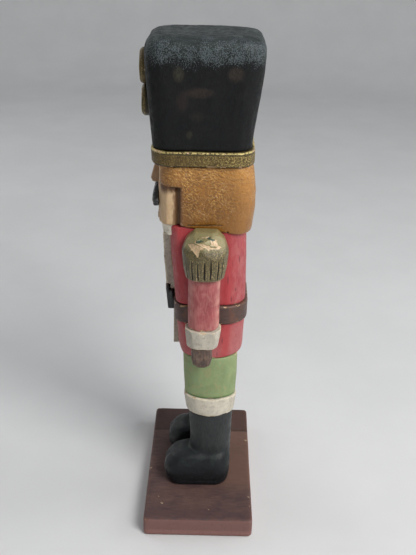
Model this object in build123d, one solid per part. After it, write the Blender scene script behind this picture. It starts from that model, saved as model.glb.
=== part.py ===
from build123d import *
import os

# A painted wooden nutcracker figure standing on a base board.
# Millimetres. The figure faces -Y, its own left side is +X, +Z is up, and the
# origin is the centre of the base board's underside.

# Base board and its screws
BASE_LENGTH = 111.0
BASE_DEPTH = 60.0
BASE_THICKNESS = 11.3
BASE_CORNER = 2.0
BASE_EDGE = 0.8
SCREW_TIP_Z = 34.0
SCREW_SHANK_R = 1.8
SCREW_HEAD_R = 3.9
SCREW_HEAD_DEPTH = 3.2
SCREW_RECESS = 0.8

# Heights of the joints between the blocks of the figure
BOOT_TOP_Z = 56.3
BOOT_CUFF_TOP_Z = 67.3
SKIRT_BOTTOM_Z = 93.0
BELT_BOTTOM_Z = 114.4
BELT_TOP_Z = 125.0
NECK_Z = 169.2
BAND_BOTTOM_Z = 200.8
BAND_TOP_Z = 208.6
HAT_TOP_Z = 262.8

# Legs: each is an upright block about LEG_X, LEG_Y
LEG_X = 12.4
LEG_Y = 5.6
LEG_DOWEL_R = 3.0
FOOT_CORNER = 8.2

# Coat; pieces on its front start from a plane inside the block and are cut to fit
COAT_HALF_WIDTH = 21.8
INSIDE_FRONT_Y = -12.0
BUCKLE_FRONT_Y = -19.2
BUCKLE_BACK_Y = -17.6
BUCKLE_HALF_WIDTH = 9.0
BUCKLE_BOTTOM_Z = 116.0
BUCKLE_TOP_Z = 130.5
PANEL_FRONT_Y = -21.0
PANEL_SLOPE = 4.5
PLACKET_FRONT_Y = -15.9
PLACKET_HALF_WIDTH = 3.6
COLLAR_BOTTOM_Z = 163.0
BELT_PROUD = 1.2
WAIST_TENON_INSET = 6.0

# Arms: the pegs turn in the torso about an axis along X
SHOULDER_Y = 1.2
SHOULDER_Z = 160.0
ARM_INNER_X = 23.8
ARM_INNER_CORNER = 1.2
SLEEVE_OUTER_X = 35.0
CUFF_BOTTOM_Z = 105.4
CUFF_TOP_Z = 116.0
HAND_CORNER = 2.6
FLUTE_COUNT = 5
FLUTE_PITCH = 2.5
FLUTE_R = 0.6
PEG_R = 4.0
PEG_CLEARANCE = 0.06
PEG_END_GAP = 0.5
PEG_INNER_X = 11.0
PEG_OUTER_X = 31.0

# Head and hat
HEAD_HALF_WIDTH = 20.4
HEAD_BACK_Y = 12.0
CHEEK_GROOVE_R = 1.6
FACE_Y = -23.0
LIP_TOP_Z = 171.6
EYE_X = 7.4
EYE_Z = 194.2
EYE_R = 3.2
EYE_PROUD = 1.0
HAIR_HALF_WIDTH = 23.0
HAIR_FRONT_Y = -11.8
TEMPLE_Z = 190.0
HAIR_HEM_SLOPE = 8.0
HAT_TENON_HALF_WIDTH = 17.0
BADGE_CHAMFER = 1.0
CORE_DOWEL_R = 4.5


def outline(z, front_y, back_y, left_x, right_x, corner):
    """A rounded rectangle lying level at height z."""
    centre = Location(((left_x + right_x) / 2, (front_y + back_y) / 2, z))
    return centre * RectangleRounded(right_x - left_x, back_y - front_y, corner)


def block(sections):
    """A block lofted through (z, front_y, back_y, half_width, corner) about the middle plane."""
    faces = [outline(z, front, back, -half, half, corner)
             for z, front, back, half, corner in sections]
    return loft(Sketch() + faces, ruled=True)


def leg_block(sections):
    """An oval leg lofted through (z, front_y, back_y, half_width) about x = LEG_X."""
    ovals = [Location((LEG_X, (front + back) / 2, z)) * Ellipse(half, (back - front) / 2)
             for z, front, back, half in sections]
    return loft(Sketch() + ovals, ruled=True)


def arm_block(sections):
    """An arm part lofted through (z, front_y, back_y, outer_x, corner): flat on the inside."""
    faces = []
    for z, front, back, outer_x, corner in sections:
        middle = Location(((ARM_INNER_X + outer_x) / 2, (front + back) / 2, z))
        face = Rectangle(outer_x - ARM_INNER_X, back - front)
        face = fillet(face.vertices().group_by(Axis.X)[-1], corner)
        face = fillet(face.vertices().group_by(Axis.X)[0], ARM_INNER_CORNER)
        faces.append(middle * face)
    return loft(Sketch() + faces, ruled=True)


def box(x0, x1, y0, y1, z0, z1):
    return Pos((x0 + x1) / 2, (y0 + y1) / 2, (z0 + z1) / 2) * Box(x1 - x0, y1 - y0, z1 - z0)


def upright_dowel(x, y, z0, z1, radius):
    return Pos(x, y, (z0 + z1) / 2) * Cylinder(radius, z1 - z0)


def front_plate(outline_face, back_y, front_y):
    """Extrude an XZ outline drawn on the front, from back_y forward to front_y."""
    return extrude(Plane.XZ.offset(-back_y) * outline_face, back_y - front_y)


# Base ------------------------------------------------------------------------

def screw_cutter():
    """A countersunk wood screw standing under a leg, head down."""
    shank = upright_dowel(LEG_X, LEG_Y, SCREW_RECESS, SCREW_TIP_Z, SCREW_SHANK_R)
    head = Pos(LEG_X, LEG_Y, SCREW_RECESS + SCREW_HEAD_DEPTH / 2) * Cone(
        SCREW_HEAD_R, SCREW_SHANK_R, SCREW_HEAD_DEPTH)
    return shank + head


def base_board(screw):
    board = extrude(RectangleRounded(BASE_LENGTH, BASE_DEPTH, BASE_CORNER), BASE_THICKNESS)
    top_edges = board.edges().group_by(Axis.Z)[-1]
    board = chamfer(top_edges, BASE_EDGE)
    recess = upright_dowel(LEG_X, LEG_Y, 0, SCREW_RECESS, SCREW_HEAD_R)
    for cutter in (screw, recess):
        board -= cutter
        board -= mirror(cutter, about=Plane.YZ)
    return board


# Legs ------------------------------------------------------------------------

def boot(screw, dowel):
    """Shaft and rounded foot in one piece; the foot is set a little outward of the shaft."""
    levels = [
        (BASE_THICKNESS, -18.8, 15.8, 4.6, 25.8),
        (14.0, -20.2, 16.9, 4.0, 26.2),
        (19.0, -21.4, 17.5, 3.8, 26.2),
        (24.0, -20.4, 17.5, 4.0, 25.4),
        (28.0, -17.0, 17.4, 4.4, 23.6),
        (30.5, -10.0, 17.2, 5.0, 21.6)]
    foot = loft(Sketch() + [outline(*level, FOOT_CORNER) for level in levels], ruled=True)
    shaft = leg_block([
        (25.0, -5.6, 17.5, 9.3),
        (44.0, -6.0, 17.9, 9.2),
        (BOOT_TOP_Z, -6.8, 18.3, 9.4)])
    return foot + shaft - screw - dowel


def boot_cuff(dowel):
    cuff = leg_block([
        (BOOT_TOP_Z, -8.0, 18.8, 10.1),
        (BOOT_CUFF_TOP_Z, -9.6, 20.2, 10.3)])
    return cuff - dowel


def trouser_leg(dowel):
    leg = leg_block([
        (BOOT_CUFF_TOP_Z, -9.0, 19.4, 9.5),
        (80.0, -9.8, 20.0, 9.5),
        (SKIRT_BOTTOM_Z, -10.2, 19.9, 9.4)])
    return leg - dowel


# Coat ------------------------------------------------------------------------

def coat_level(z, front_y, back_y, corner, grow=0.0):
    return (z, front_y - grow, back_y + grow, COAT_HALF_WIDTH + grow, corner + grow)


def coat_skirt(dowel):
    skirt = block([
        coat_level(SKIRT_BOTTOM_Z, -12.0, 22.2, 16.0),
        coat_level(97.0, -13.0, 22.7, 15.0),
        coat_level(BELT_BOTTOM_Z, -13.8, 23.0, 12.6)])
    return skirt - dowel - mirror(dowel, about=Plane.YZ)


def waist_tenon():
    half = COAT_HALF_WIDTH - WAIST_TENON_INSET
    tenon = outline(BELT_BOTTOM_Z, -14.0 + WAIST_TENON_INSET, 23.0 - WAIST_TENON_INSET,
                    -half, half, WAIST_TENON_INSET)
    return extrude(tenon, BELT_TOP_Z - BELT_BOTTOM_Z)


def chest_block():
    return block([
        coat_level(BELT_TOP_Z, -14.4, 23.1, 12.0),
        coat_level(150.0, -16.6, 22.9, 11.6),
        coat_level(NECK_Z, -17.6, 21.9, 11.0)])


def coat_torso(neck_dowel):
    """Chest block, with a tenon through the belt and a bearing hole for each shoulder peg."""
    torso = chest_block() + waist_tenon()
    hole_bottom_x = PEG_INNER_X - PEG_END_GAP
    hole_depth = COAT_HALF_WIDTH + 1.0 - hole_bottom_x
    for side in (-1, 1):
        middle = Pos(side * (hole_bottom_x + hole_depth / 2), SHOULDER_Y, SHOULDER_Z)
        torso -= middle * Rot(0, 90, 0) * Cylinder(PEG_R + PEG_CLEARANCE, hole_depth)
    return torso - neck_dowel


def belt():
    ring = block([
        coat_level(BELT_BOTTOM_Z, -14.0, 23.0, 12.4, BELT_PROUD),
        coat_level(BELT_TOP_Z, -14.6, 23.2, 12.0, BELT_PROUD)])
    return ring - waist_tenon()


def belt_buckle(chest, belt_ring, skirt):
    """A frame with a tongue; above the belt it stands out in front of the plastron."""
    height = BUCKLE_TOP_Z - BUCKLE_BOTTOM_Z
    frame = RectangleRounded(2 * BUCKLE_HALF_WIDTH, height, 2.0) - Rectangle(10.0, 7.2)
    outline_2d = Pos(0, BUCKLE_BOTTOM_Z + height / 2) * (frame + Rectangle(2.6, 8.6))
    plate = front_plate(outline_2d, INSIDE_FRONT_Y, BUCKLE_FRONT_Y)
    behind = box(-BUCKLE_HALF_WIDTH, BUCKLE_HALF_WIDTH, BUCKLE_BACK_Y, INSIDE_FRONT_Y,
                 BELT_TOP_Z, BUCKLE_TOP_Z)
    return plate - chest - belt_ring - skirt - behind


def chest_panel(chest):
    """White plastron: wide at the neck, narrowing down to the belt behind the buckle."""
    with BuildSketch() as shape:
        with BuildLine():
            Polyline((-6.4, BELT_TOP_Z), (-8.6, 150.0), (-15.0, COLLAR_BOTTOM_Z),
                     (15.0, COLLAR_BOTTOM_Z), (8.6, 150.0), (6.4, BELT_TOP_Z), close=True)
        make_face()
    panel = front_plate(shape.sketch, INSIDE_FRONT_Y, PANEL_FRONT_Y)
    slope = Pos(0, -19.4, 127.0) * Rot(PANEL_SLOPE, 0, 0) * Box(60, 6.0, 100, align=(
        Align.CENTER, Align.MAX, Align.CENTER))
    in_front = box(-COAT_HALF_WIDTH, COAT_HALF_WIDTH, PANEL_FRONT_Y - 1.0, BUCKLE_BACK_Y,
                   BELT_TOP_Z - 1.0, BUCKLE_TOP_Z)
    return panel - slope - in_front - chest


def skirt_placket(skirt, buckle):
    strip = box(-PLACKET_HALF_WIDTH, PLACKET_HALF_WIDTH, PLACKET_FRONT_Y, INSIDE_FRONT_Y + 1.0,
                SKIRT_BOTTOM_Z, BELT_BOTTOM_Z)
    return strip - skirt - buckle


def collar(chest):
    """White band that shows in front, between the plastron and the jaw."""
    band = block([
        (COLLAR_BOTTOM_Z, -21.2, 4.0, 18.6, 8.0),
        (NECK_Z, -21.8, 4.0, 19.6, 8.0)])
    return band - chest


# Arms ------------------------------------------------------------------------

def shoulder_peg():
    length = PEG_OUTER_X - PEG_INNER_X
    return Pos(PEG_INNER_X + length / 2, SHOULDER_Y, SHOULDER_Z) * Rot(0, 90, 0) * Cylinder(
        PEG_R, length)


def sleeve_core():
    """The wooden arm from its round top down to the cuff."""
    return arm_block([
        (CUFF_TOP_Z, -7.2, 9.0, SLEEVE_OUTER_X - 0.2, 6.6),
        (150.0, -7.4, 9.2, SLEEVE_OUTER_X, 6.6),
        (162.0, -6.8, 9.0, SLEEVE_OUTER_X - 1.0, 6.2),
        (166.0, -4.0, 6.6, SLEEVE_OUTER_X - 3.0, 4.4)])


def epaulette(core):
    """Domed cap over the top of the sleeve, its lower half cut with upright flutes."""
    cap = arm_block([
        (145.4, -8.6, 11.2, 37.2, 8.0),
        (152.0, -10.0, 12.4, 38.2, 8.4),
        (160.0, -10.7, 13.0, 37.8, 8.4),
        (166.0, -8.4, 10.8, 35.4, 7.4),
        (169.6, -4.4, 7.2, 31.6, 5.0)])
    for index in range(FLUTE_COUNT):
        y = SHOULDER_Y + FLUTE_PITCH * (index - (FLUTE_COUNT - 1) / 2)
        cap -= upright_dowel(38.3, y, 142.0, 158.0, FLUTE_R)
    return cap - core


def sleeve_cuff():
    return arm_block([
        (CUFF_BOTTOM_Z, -7.8, 8.8, 35.4, 6.8),
        (112.0, -8.4, 9.8, 36.4, 7.0),
        (CUFF_TOP_Z, -8.7, 10.3, 36.8, 7.2)])


def hand():
    levels = [
        (93.2, -2.6, 3.4, 27.0, 32.4),
        (95.0, -4.4, 5.0, 25.6, 33.6),
        (98.4, -5.3, 5.8, 25.0, 34.2),
        (CUFF_BOTTOM_Z, -5.4, 5.9, 24.8, 34.4)]
    return loft(Sketch() + [outline(*level, HAND_CORNER) for level in levels], ruled=True)


# Head ------------------------------------------------------------------------

def head_solid():
    """Face block with chamfered front corners and a groove where the hair begins."""
    left_edge = [(13.6, FACE_Y), (18.2, -21.0), (HEAD_HALF_WIDTH, -18.6),
                 (HEAD_HALF_WIDTH, HEAD_BACK_Y)]
    right_edge = [(-x, y) for x, y in reversed(left_edge)]
    plan = make_face(Polyline(*left_edge, *right_edge, close=True))
    head = extrude(Pos(0, 0, NECK_Z) * plan, BAND_BOTTOM_Z - NECK_Z)
    for x in (-HEAD_HALF_WIDTH, HEAD_HALF_WIDTH):
        head -= upright_dowel(x, HAIR_FRONT_Y - 1.0, NECK_Z, TEMPLE_Z, CHEEK_GROOVE_R)
    return head


def hair(head, chest):
    """Hair wrapped round the sides and back of the head, with temples over the face."""
    mass = block([
        (165.4, -22.4, 24.4, HAIR_HALF_WIDTH - 0.4, 10.0),
        (168.0, -22.6, 24.9, HAIR_HALF_WIDTH - 0.2, 10.0),
        (178.0, -23.0, 26.0, HAIR_HALF_WIDTH, 10.0),
        (188.0, -23.2, 26.1, HAIR_HALF_WIDTH, 10.0),
        (196.0, -23.4, 25.2, HAIR_HALF_WIDTH - 0.2, 10.0),
        (BAND_BOTTOM_Z, -23.6, 24.0, HAIR_HALF_WIDTH - 0.6, 10.0)])
    below = Pos(0, 0, 168.0) * Rot(-HAIR_HEM_SLOPE, 0, 0) * Box(80, 120, 20, align=(
        Align.CENTER, Align.CENTER, Align.MAX))
    face_window = box(-40, 40, -40, HAIR_FRONT_Y, 150, TEMPLE_Z)
    forehead = box(-17.0, 17.0, -40, FACE_Y + 1.0, 150, BAND_BOTTOM_Z + 1)
    return mass - below - face_window - forehead - head - chest


def nose():
    """A wedge standing out from the face, widest and deepest just above the moustache."""
    profile = Polyline((0, 0), (-4.0, 0.4), (-5.0, 2.4), (-2.0, 12.8), (0, 13.6), close=True)
    side_view = Plane.YZ * Pos(FACE_Y, 186.6) * make_face(profile)
    wedge = extrude(side_view, 3.4, both=True)
    front_view = Polyline((-3.4, 186.0), (3.4, 186.0), (3.4, 189.6), (1.8, 200.4), (-1.8, 200.4),
                          (-3.4, 189.6), close=True)
    return wedge & front_plate(make_face(front_view), FACE_Y, FACE_Y - 6.0)


def moustache():
    """A thick handlebar with rounded, drooping ends."""
    upper = [(5.2, 186.4), (9.6, 184.2), (13.0, 182.6)]
    lower = [(15.4, 179.6), (13.2, 177.4), (8.0, 176.2)]
    left = upper + lower
    right = [(-x, z) for x, z in reversed(left)]
    curve = Spline((0, 184.6), *left, (0, 175.0), *right, periodic=True)
    return front_plate(make_face(curve), FACE_Y, FACE_Y - 3.4)


def jaw_front():
    """Lower lip and chin plate on the front of the head block."""
    return box(-8.4, 8.4, FACE_Y - 0.9, FACE_Y, NECK_Z, LIP_TOP_Z)


def teeth():
    """A row of six teeth, parted by fine saw cuts."""
    tooth_width = 2.2
    cut_half_width = 0.15
    row = box(-3 * tooth_width, 3 * tooth_width, FACE_Y - 0.7, FACE_Y, LIP_TOP_Z, LIP_TOP_Z + 3.4)
    for index in range(-2, 3):
        x = index * tooth_width
        row -= box(x - cut_half_width, x + cut_half_width, FACE_Y - 1.0, FACE_Y - 0.4,
                   LIP_TOP_Z - 1.0, LIP_TOP_Z + 4.0)
    return row


def eyes():
    """Two shallow domes standing out of the face."""
    ball = Pos(EYE_X, FACE_Y + EYE_R - EYE_PROUD, EYE_Z) * Sphere(EYE_R)
    eye = ball & box(0, 2 * EYE_X, FACE_Y - EYE_R, FACE_Y, EYE_Z - EYE_R, EYE_Z + EYE_R)
    return Compound(children=[eye, mirror(eye, about=Plane.YZ)])


# Hat -------------------------------------------------------------------------

def hat_tenon():
    tenon = outline(BAND_BOTTOM_Z, -20.5, 18.5, -HAT_TENON_HALF_WIDTH, HAT_TENON_HALF_WIDTH, 5.0)
    return extrude(tenon, BAND_TOP_Z - BAND_BOTTOM_Z)


def hat(dowel):
    """Tall bearskin-shaped block, wider at the top, with a rounded crown."""
    crown = block([
        (BAND_TOP_Z, -26.2, 23.4, 23.0, 10.0),
        (217.0, -27.0, 24.3, 23.6, 10.0),
        (232.0, -28.3, 26.2, 24.8, 10.0),
        (246.0, -29.3, 27.9, 25.8, 10.0),
        (253.0, -29.5, 28.3, 26.0, 10.0),
        (257.5, -29.3, 28.3, 25.8, 10.0),
        (260.4, -28.2, 27.2, 24.6, 9.6),
        (262.0, -26.0, 24.8, 22.4, 9.0),
        (HAT_TOP_Z, -22.4, 21.0, 18.8, 8.0)])
    return crown + hat_tenon() - dowel


def hat_band():
    ring = block([
        (BAND_BOTTOM_Z, -26.5, 25.0, 24.2, 11.0),
        (BAND_TOP_Z, -26.9, 24.9, 24.5, 10.6)])
    return ring - hat_tenon()


def badge_lobe(middle_z, half_width, half_height, front_y, hat_block):
    disc = front_plate(Pos(0, middle_z) * Ellipse(half_width, half_height), FACE_Y - 1.0, front_y)
    disc = chamfer(disc.edges().sort_by(Axis.Y)[0], BADGE_CHAMFER)
    return disc - hat_block


# Assembly --------------------------------------------------------------------

def build_parts():
    screw = screw_cutter()
    leg_dowel = upright_dowel(LEG_X, LEG_Y, 42.0, 106.0, LEG_DOWEL_R)
    neck_dowel = upright_dowel(0, 0, 148.0, 180.0, CORE_DOWEL_R)
    hat_dowel = upright_dowel(0, 0, 184.0, 226.0, CORE_DOWEL_R)

    skirt = coat_skirt(leg_dowel)
    chest = chest_block()
    belt_ring = belt()
    buckle = belt_buckle(chest, belt_ring, skirt)
    head = head_solid()
    hat_block = hat(hat_dowel)
    upper_badge = badge_lobe(245.6, 8.6, 8.8, -32.6, hat_block)
    lower_badge = badge_lobe(228.8, 7.4, 8.0, -31.8, hat_block)

    parts = {
        "base_board": base_board(screw),
        "base_screws": Compound(children=[screw, mirror(screw, about=Plane.YZ)]),
        "coat_skirt": skirt,
        "coat_torso": coat_torso(neck_dowel),
        "belt": belt_ring,
        "belt_buckle": buckle,
        "chest_panel": chest_panel(chest),
        "skirt_placket": skirt_placket(skirt, buckle),
        "collar": collar(chest),
        "neck_dowel": neck_dowel,
        "head_block": head - neck_dowel - hat_dowel,
        "hair": hair(head, chest),
        "nose": nose(),
        "moustache": moustache() - nose(),
        "jaw_front": jaw_front(),
        "teeth": teeth(),
        "eyes": eyes(),
        "hat_dowel": hat_dowel,
        "hat_band": hat_band(),
        "hat": hat_block,
        "hat_badge_upper": upper_badge,
        "hat_badge_lower": lower_badge - upper_badge,
    }

    core = sleeve_core() - shoulder_peg()
    left_side = {
        "boot": boot(screw, leg_dowel),
        "boot_cuff": boot_cuff(leg_dowel),
        "trouser_leg": trouser_leg(leg_dowel),
        "leg_dowel": leg_dowel,
        "sleeve": core,
        "epaulette": epaulette(sleeve_core()),
        "sleeve_cuff": sleeve_cuff(),
        "hand": hand(),
        "shoulder_peg": shoulder_peg(),
    }
    for name, shape in left_side.items():
        parts["left_" + name] = shape
        parts["right_" + name] = mirror(shape, about=Plane.YZ)
    return parts


os.makedirs("parts", exist_ok=True)
for node, solid in build_parts().items():
    export_step(solid, "parts/" + node + ".step")
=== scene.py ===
import bmesh
import bpy
import itertools
import math
import numpy as np
from mathutils import Euler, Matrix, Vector


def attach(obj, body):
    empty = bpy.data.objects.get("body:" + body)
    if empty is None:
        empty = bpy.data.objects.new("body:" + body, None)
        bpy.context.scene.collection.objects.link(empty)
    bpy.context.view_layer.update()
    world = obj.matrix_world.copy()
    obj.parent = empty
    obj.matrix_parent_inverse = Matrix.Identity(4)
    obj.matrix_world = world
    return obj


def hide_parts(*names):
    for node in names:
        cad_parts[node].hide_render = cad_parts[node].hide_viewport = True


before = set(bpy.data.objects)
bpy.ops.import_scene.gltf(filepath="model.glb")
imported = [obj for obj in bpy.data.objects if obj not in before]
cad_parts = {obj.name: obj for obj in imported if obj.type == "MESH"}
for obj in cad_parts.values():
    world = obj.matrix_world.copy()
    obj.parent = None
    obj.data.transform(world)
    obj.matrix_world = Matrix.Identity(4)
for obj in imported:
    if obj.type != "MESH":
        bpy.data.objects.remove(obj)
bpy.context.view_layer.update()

# A hand-carved, painted wooden nutcracker. Lengths here are millimetres unless a name says
# otherwise. The figure faces -Y and its own left side is +X. Each visible CAD node is copied,
# rounded and worked with a knife in mesh code, and painted with procedural materials.

MM = 0.001


# Fields over points -----------------------------------------------------------

def lattice(cell, seed):
    """A fixed random number from 0 to 1 for each whole-numbered cell."""
    mask = 0xFFFFFFFF
    h = (cell[:, 0] * 374761393 + cell[:, 1] * 668265263
         + cell[:, 2] * 1440662683 + seed * 1274126177) & mask
    h = ((h ^ (h >> 13)) * 1274126177) & mask
    h = ((h ^ (h >> 15)) * 668265263) & mask
    return (h ^ (h >> 16)) / float(mask)


def noise(points, size, seed, stretch=(1, 1, 1)):
    """Smooth noise from -1 to 1, with features about size across."""
    place = points / (size * np.array(stretch, float))
    base = np.floor(place).astype(np.int64)
    part = place - base
    ease = part ** 3 * (part * (part * 6 - 15) + 10)
    total = np.zeros(len(points))
    for corner in itertools.product((0, 1), repeat=3):
        pick = np.array(corner)
        share = np.prod(np.where(pick, ease, 1 - ease), axis=1)
        total += share * lattice(base + pick, seed)
    return total * 2 - 1


def layered(points, size, seed, stretch=(1, 1, 1), layers=3):
    total, weight = 0, 0
    for k in range(layers):
        total = total + noise(points, size / 2 ** k, seed + k, stretch) / 2 ** k
        weight += 1 / 2 ** k
    return total / weight


def scatter(points, size, seed, stretch=(1, 1, 1)):
    """Distance to the nearest of scattered seeds, in cell sizes."""
    place = points / (size * np.array(stretch, float))
    base = np.floor(place).astype(np.int64)
    near = np.full(len(points), 9.0)
    for offset in itertools.product((-1, 0, 1), repeat=3):
        cell = base + np.array(offset)
        spot = cell + np.stack([lattice(cell, seed + 7 * k) for k in range(3)], axis=1)
        distance = np.linalg.norm(place - spot, axis=1)
        near = np.minimum(near, distance)
    return near


def strokes(across, up, cell, length, width, lean, spread, curve, seed):
    """Height from 0 to 1 of short curved gouge strokes, one about each grid cell.

    Each is turned from the lean angle by up to the spread, both in radians.
    """
    column, row = np.floor(across / cell), np.floor(up / cell)
    top = np.zeros(len(across))
    reach = int(math.ceil(length / cell))
    for i, j in itertools.product(range(-reach, reach + 1), repeat=2):
        home = np.stack([column + i, row + j, 0 * row], axis=1).astype(np.int64)
        draw = [lattice(home, seed + 13 * k) for k in range(4)]
        dx = across - (home[:, 0] + draw[0]) * cell
        dy = up - (home[:, 1] + draw[1]) * cell
        angle = lean + spread * (2 * draw[2] - 1)
        along = dx * np.cos(angle) + dy * np.sin(angle)
        beside = dy * np.cos(angle) - dx * np.sin(angle)
        bow = curve * (2 * draw[3] - 1) * (along ** 2 / length - 0.3 * length)
        taper = np.clip(1 - (along / length) ** 2, 0, 1)
        wide = width * np.sqrt(taper) + 1e-6
        top = np.maximum(top, taper * np.clip(1 - np.abs(beside - bow) / wide, 0, 1))
    return top


def ramp(value, low, high):
    """Smooth step from 0 at low to 1 at high; high may be the lower of the two."""
    t = np.clip((value - low) / (high - low), 0, 1)
    return t * t * (3 - 2 * t)


def near_to(value, centre, width):
    return np.exp(-((value - centre) / width) ** 2)


def inside(across, up, corners):
    """Distance in from the outline of a polygon: positive inside it, negative outside."""
    within = np.zeros(len(across), bool)
    nearest = np.full(len(across), 99.0)
    for (x0, y0), (x1, y1) in zip(corners, corners[1:] + corners[:1]):
        dx, dy = x1 - x0, y1 - y0
        t = np.clip(((across - x0) * dx + (up - y0) * dy) / (dx * dx + dy * dy), 0, 1)
        nearest = np.minimum(nearest, np.hypot(across - x0 - t * dx, up - y0 - t * dy))
        if dy:
            crosses = (y0 > up) != (y1 > up)
            within ^= crosses & (across < x0 + (up - y0) * dx / dy)
    return np.where(within, nearest, -nearest)


# Carving ----------------------------------------------------------------------

class Carving:
    """A dense closed mesh made from one CAD node, worked in millimetres."""

    def __init__(self, node, voxel, rounding=4):
        self.node, self.voxel = node, voxel
        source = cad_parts[node].data.copy()
        weld = bmesh.new()
        weld.from_mesh(source)
        bmesh.ops.remove_doubles(weld, verts=weld.verts, dist=1e-6)
        weld.to_mesh(source)
        weld.free()
        blank = bpy.data.objects.new("blank", source)
        bpy.context.scene.collection.objects.link(blank)
        remesh = blank.modifiers.new("voxels", "REMESH")
        remesh.mode = "VOXEL"
        remesh.voxel_size = voxel * MM
        graph = bpy.context.evaluated_depsgraph_get()
        self.mesh = bpy.data.meshes.new_from_object(blank.evaluated_get(graph))
        bpy.data.objects.remove(blank)
        bpy.data.meshes.remove(source)
        self.mesh.materials.clear()
        self.mesh.name = node
        points = np.zeros(len(self.mesh.vertices) * 3, np.float32)
        self.mesh.vertices.foreach_get("co", points)
        self.points = points.reshape(-1, 3).astype(float) / MM
        edges = np.zeros(len(self.mesh.edges) * 2, np.int32)
        self.mesh.edges.foreach_get("vertices", edges)
        self.ends = edges.reshape(-1, 2)
        self.degree = np.bincount(self.ends.ravel(), minlength=len(self.points))
        self.marks = {}
        self.smooth(rounding)
        self.whole = self.points.copy()

    x = property(lambda self: self.points[:, 0])
    y = property(lambda self: self.points[:, 1])
    z = property(lambda self: self.points[:, 2])

    def average(self, values):
        """Each vertex's mean over its neighbours, for one column or several."""
        columns = values.reshape(len(values), -1)
        a, b = self.ends[:, 0], self.ends[:, 1]
        count = len(values)
        made = np.stack([
            np.bincount(a, column[b], count) + np.bincount(b, column[a], count)
            for column in columns.T], axis=1)
        return (made / self.degree[:, None]).reshape(values.shape)

    def smooth(self, rounds, share=None):
        for _ in range(rounds):
            step = self.average(self.points) - self.points
            self.points = self.points + (step if share is None else step * share[:, None])

    def normals(self):
        self.mesh.vertices.foreach_set("co", (self.points * MM).astype(np.float32).ravel())
        self.mesh.update()
        made = np.zeros(len(self.points) * 3, np.float32)
        self.mesh.vertex_normals.foreach_get("vector", made)
        return made.reshape(-1, 3).astype(float)

    def push(self, amount):
        self.points = self.points + self.normals() * np.asarray(amount)[:, None]

    def bend(self, rounds=3):
        """Sum of the two curvatures per millimetre: positive on edges, negative in hollows."""
        step = self.average(self.points) - self.points
        value = -4 * np.sum(step * self.normals(), axis=1) / self.voxel ** 2
        for _ in range(rounds):
            value = self.average(value)
        return value

    def whittle(self, seed, depth, facet, stretch=(1, 1, 1.7), swell=0.12):
        """Shallow knife cuts that meet in soft ridges, over a slow hand-made unevenness."""
        near = scatter(self.points + 3 * noise(self.points, 14, seed + 3)[:, None],
                       facet, seed, stretch)
        cuts = depth * (1.3 * near ** 2 - 0.45)
        self.push(np.minimum(cuts, 0.6 * depth) + swell * noise(self.points, 16, seed + 5))

    def chip(self, seed, depth, size, amount):
        """Knocks flakes out along the edges and marks them for the paint."""
        edge = ramp(self.bend(2), 0.15, 0.7)
        flake = layered(self.points, size, seed, layers=2) + 0.55 * edge
        mask = ramp(flake, 1.06 - amount, 1.12 - amount) * ramp(edge, 0.1, 0.5)
        self.push(-depth * mask)
        self.marks["chip"] = mask

    def done(self, body, slot, paint):
        """Writes the mesh, its edge and hollow marks, and stands for the CAD node."""
        bend = self.bend(3)
        self.marks["edge"] = ramp(bend, 0.06, 0.75)
        self.marks["hollow"] = ramp(-bend, 0.05, 0.6)
        self.normals()
        for title, values in self.marks.items():
            layer = self.mesh.attributes.new(title, "FLOAT", "POINT")
            layer.data.foreach_set("value", values.astype(np.float32))
        self.mesh.shade_smooth()
        self.mesh.materials.append(paint)
        piece = bpy.data.objects.new(self.node + "_carved", self.mesh)
        bpy.context.scene.collection.objects.link(piece)
        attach(piece, body)
        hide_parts(self.node)
        return piece


# Paint ------------------------------------------------------------------------

def colour(tint):
    """Linear colour from the usual 0 to 255 numbers; a finished colour or node passes through."""
    if not isinstance(tint, tuple) or len(tint) != 3:
        return tint
    made = []
    for part in tint:
        part /= 255
        made.append(part / 12.92 if part <= 0.04045 else ((part + 0.055) / 1.055) ** 2.4)
    return (*made, 1.0)


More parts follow.
